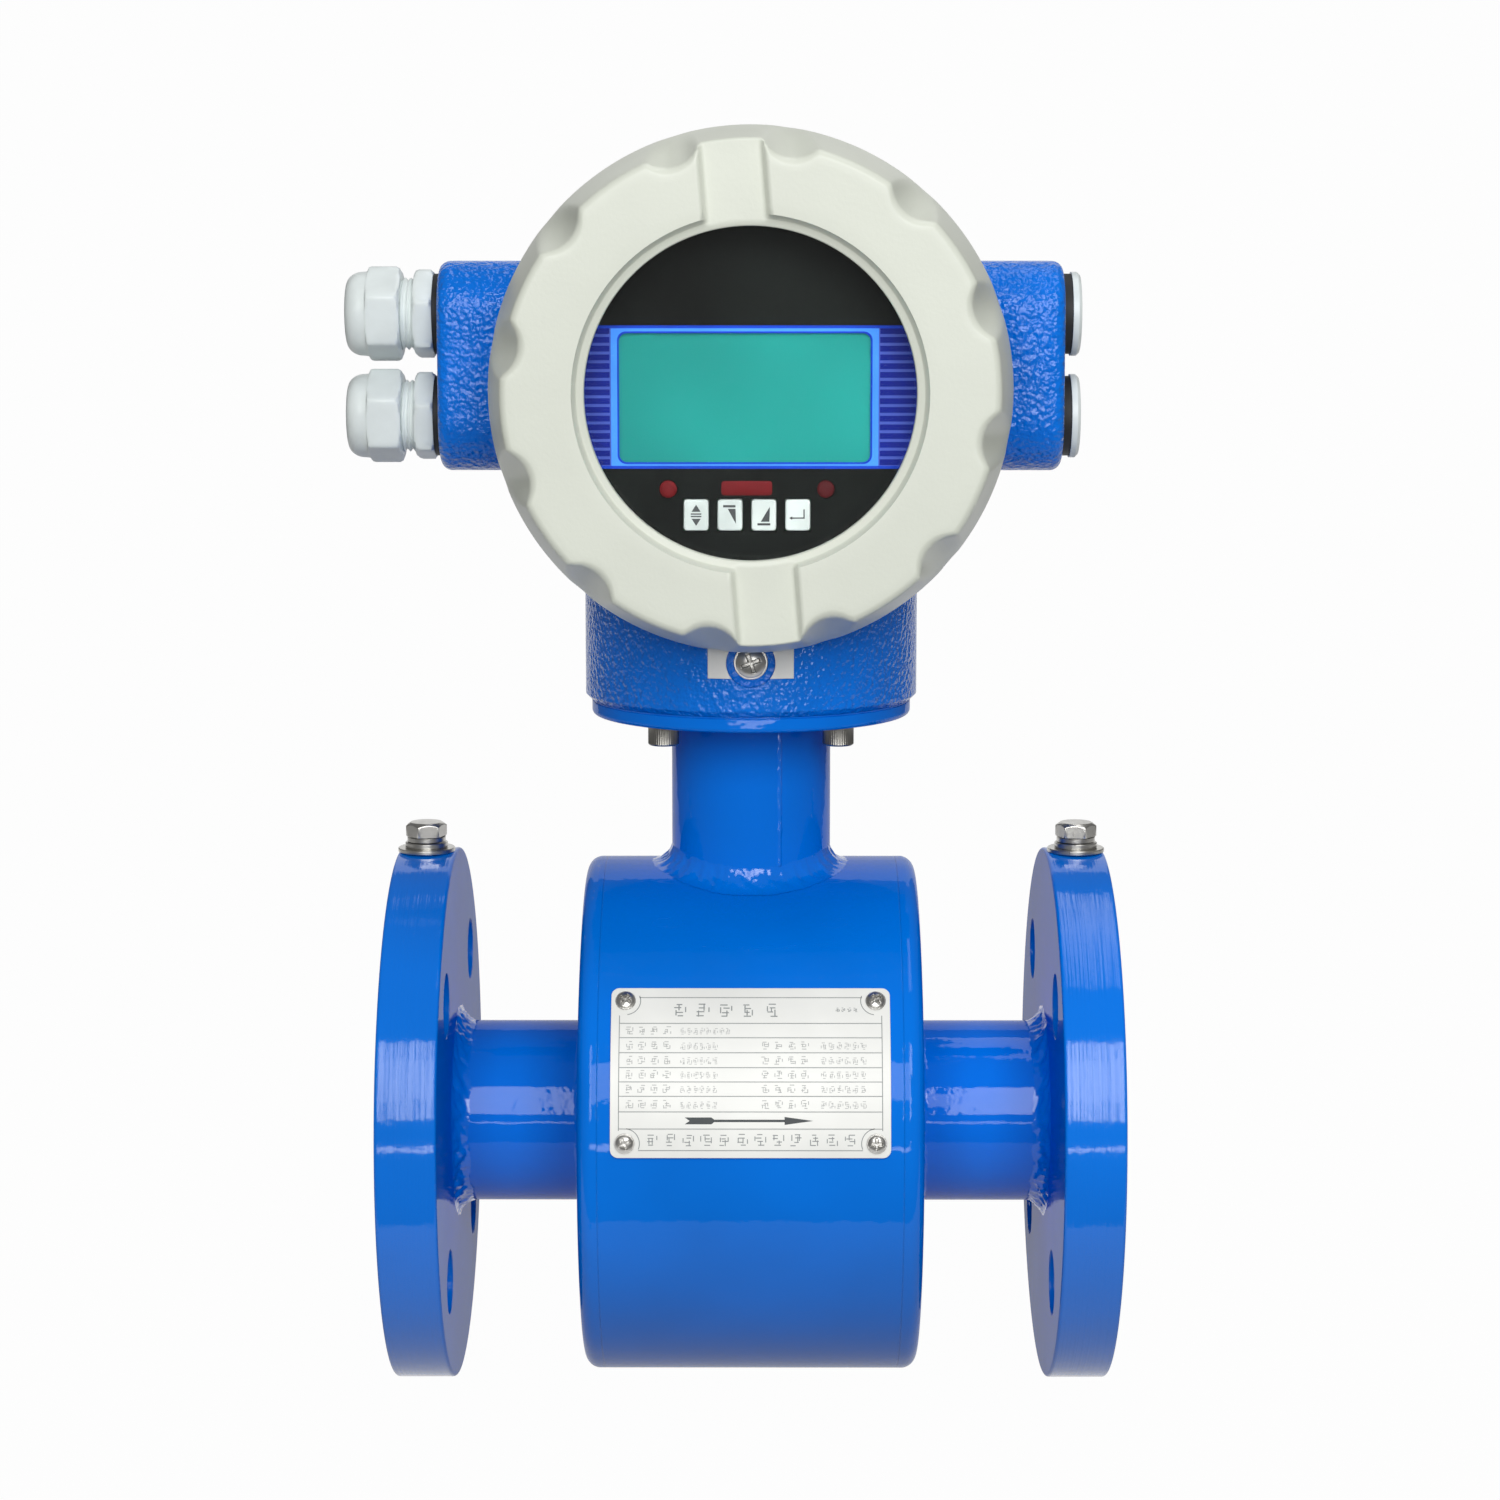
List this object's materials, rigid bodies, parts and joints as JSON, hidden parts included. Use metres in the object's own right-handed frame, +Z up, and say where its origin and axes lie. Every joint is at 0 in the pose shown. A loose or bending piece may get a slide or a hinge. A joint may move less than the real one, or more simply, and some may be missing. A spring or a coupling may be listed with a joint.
{
  "type": "electromagnetic flow meter",
  "caption": "Flanged electromagnetic flow meter with a round display converter on a neck above the measuring tube.",
  "frame": {"origin": "on the pipe axis, halfway between the two flange faces", "axes": "+X along the pipe with the flow, +Z up through the neck, the display faces -Y"},
  "size_m": [0.2114, 0.16, 0.35],
  "materials": {
    "blue_gloss_paint": "smooth gloss enamel over welded steel",
    "blue_hammer_paint": "hammered semi-gloss enamel on cast aluminium",
    "cream_paint": "satin powder coat on cast aluminium",
    "liner_ptfe": "smooth waxy",
    "copper_winding": "enamelled winding",
    "soft_iron": "bright machined",
    "stainless_steel": "turned and brushed",
    "electrode_insulation": "smooth",
    "rubber_black": "matt",
    "window_glass": "clear toughened glass",
    "plated_ring": "plated",
    "panel_film": "satin printed film",
    "lcd_glass": "backlit reflective screen",
    "key_rubber": "moulded key caps",
    "lamp_red": "dark red clear plastic",
    "circuit_board": "solder resist",
    "terminal_plastic": "moulded terminal bar",
    "gland_nylon": "moulded nylon",
    "label_white": "coated label"
  },
  "bodies": {
    "meter": {"inlet_flange": "blue_gloss_paint", "outlet_flange": "blue_gloss_paint", "coil_housing_shell": "blue_gloss_paint", "left_end_plate": "blue_gloss_paint", "right_end_plate": "blue_gloss_paint", "neck_tube": "blue_gloss_paint", "neck_flange": "blue_gloss_paint", "weld_beads": "blue_gloss_paint", "measuring_tube": "blue_gloss_paint", "converter_housing": "blue_hammer_paint", "tube_liner": "liner_ptfe", "upper_coil": "copper_winding", "lower_coil": "copper_winding", "upper_pole_shoe": "soft_iron", "lower_pole_shoe": "soft_iron", "flux_return_band": "soft_iron", "front_electrode": "stainless_steel", "rear_electrode": "stainless_steel", "electrode_springs": "stainless_steel", "electrode_nuts": "stainless_steel", "ground_bolts": "stainless_steel", "ground_tag_washers": "stainless_steel", "ground_plain_washers": "stainless_steel", "ground_spring_washers": "stainless_steel", "nameplate": "stainless_steel", "nameplate_rivets": "stainless_steel", "housing_screws": "stainless_steel", "earth_screw": "stainless_steel", "electrode_bushes": "electrode_insulation", "housing_gasket": "rubber_black", "gland_washers": "rubber_black", "plug_washers": "rubber_black", "board_pillars": "plated_ring", "display_panel": "panel_film", "lcd_module": "lcd_glass", "status_lamps": "lamp_red", "infrared_window": "lamp_red", "display_board": "circuit_board", "main_board": "circuit_board", "terminal_board": "circuit_board", "terminal_block": "terminal_plastic", "upper_gland_body": "gland_nylon", "lower_gland_body": "gland_nylon", "blanking_plugs": "gland_nylon", "earth_label": "label_white"},
    "front_seal": {"front_cover_seal": "rubber_black"},
    "front_cover": {"front_cover": "cream_paint", "window_gasket": "rubber_black", "window_glass": "window_glass", "window_retaining_ring": "plated_ring"},
    "rear_seal": {"rear_cover_seal": "rubber_black"},
    "rear_cover": {"rear_cover": "cream_paint"},
    "upper_insert": {"upper_gland_insert": "rubber_black"},
    "upper_nut": {"upper_gland_nut": "gland_nylon"},
    "lower_insert": {"lower_gland_insert": "rubber_black"},
    "lower_nut": {"lower_gland_nut": "gland_nylon"},
    "select_key": {"select_key": "key_rubber"},
    "down_key": {"down_key": "key_rubber"},
    "up_key": {"up_key": "key_rubber"},
    "enter_key": {"enter_key": "key_rubber"}
  },
  "joints": [
    {"name": "front_seal_slide", "type": "slide", "parent": "meter", "child": "front_seal", "axis": [0, -1, 0], "range_m": [0, 0.01001]},
    {"name": "front_cover_turn", "type": "hinge", "parent": "front_seal", "child": "front_cover", "pos_m": [0, 0, 0.2065], "axis": [0, -1, 0], "range_deg": [0, 1800]},
    {"name": "rear_seal_slide", "type": "slide", "parent": "meter", "child": "rear_seal", "axis": [0, 1, 0], "range_m": [0, 0.01001]},
    {"name": "rear_cover_turn", "type": "hinge", "parent": "rear_seal", "child": "rear_cover", "pos_m": [0, 0, 0.2065], "axis": [0, 1, 0], "range_deg": [0, 1800]},
    {"name": "upper_insert_slide", "type": "slide", "parent": "meter", "child": "upper_insert", "axis": [-1, 0, 0], "range_m": [0, 0.00451]},
    {"name": "upper_nut_turn", "type": "hinge", "parent": "upper_insert", "child": "upper_nut", "pos_m": [0, 0, 0.2255], "axis": [-1, 0, 0], "range_deg": [0, 1080]},
    {"name": "lower_insert_slide", "type": "slide", "parent": "meter", "child": "lower_insert", "axis": [-1, 0, 0], "range_m": [0, 0.00451]},
    {"name": "lower_nut_turn", "type": "hinge", "parent": "lower_insert", "child": "lower_nut", "pos_m": [0, 0, 0.1975], "axis": [-1, 0, 0], "range_deg": [0, 1080]},
    {"name": "select_key_press", "type": "slide", "parent": "meter", "child": "select_key", "axis": [0, 1, 0], "range_m": [0, 0.0008], "stiffness_N_per_m": 600},
    {"name": "down_key_press", "type": "slide", "parent": "meter", "child": "down_key", "axis": [0, 1, 0], "range_m": [0, 0.0008], "stiffness_N_per_m": 600},
    {"name": "up_key_press", "type": "slide", "parent": "meter", "child": "up_key", "axis": [0, 1, 0], "range_m": [0, 0.0008], "stiffness_N_per_m": 600},
    {"name": "enter_key_press", "type": "slide", "parent": "meter", "child": "enter_key", "axis": [0, 1, 0], "range_m": [0, 0.0008], "stiffness_N_per_m": 600}
  ],
  "couplings": [
    {"joint": "front_seal_slide", "follows": "front_cover_turn", "m_per_rad": 0.00031831},
    {"joint": "rear_seal_slide", "follows": "rear_cover_turn", "m_per_rad": 0.00031831},
    {"joint": "upper_insert_slide", "follows": "upper_nut_turn", "m_per_rad": 0.00023873},
    {"joint": "lower_insert_slide", "follows": "lower_nut_turn", "m_per_rad": 0.00023873}
  ]
}
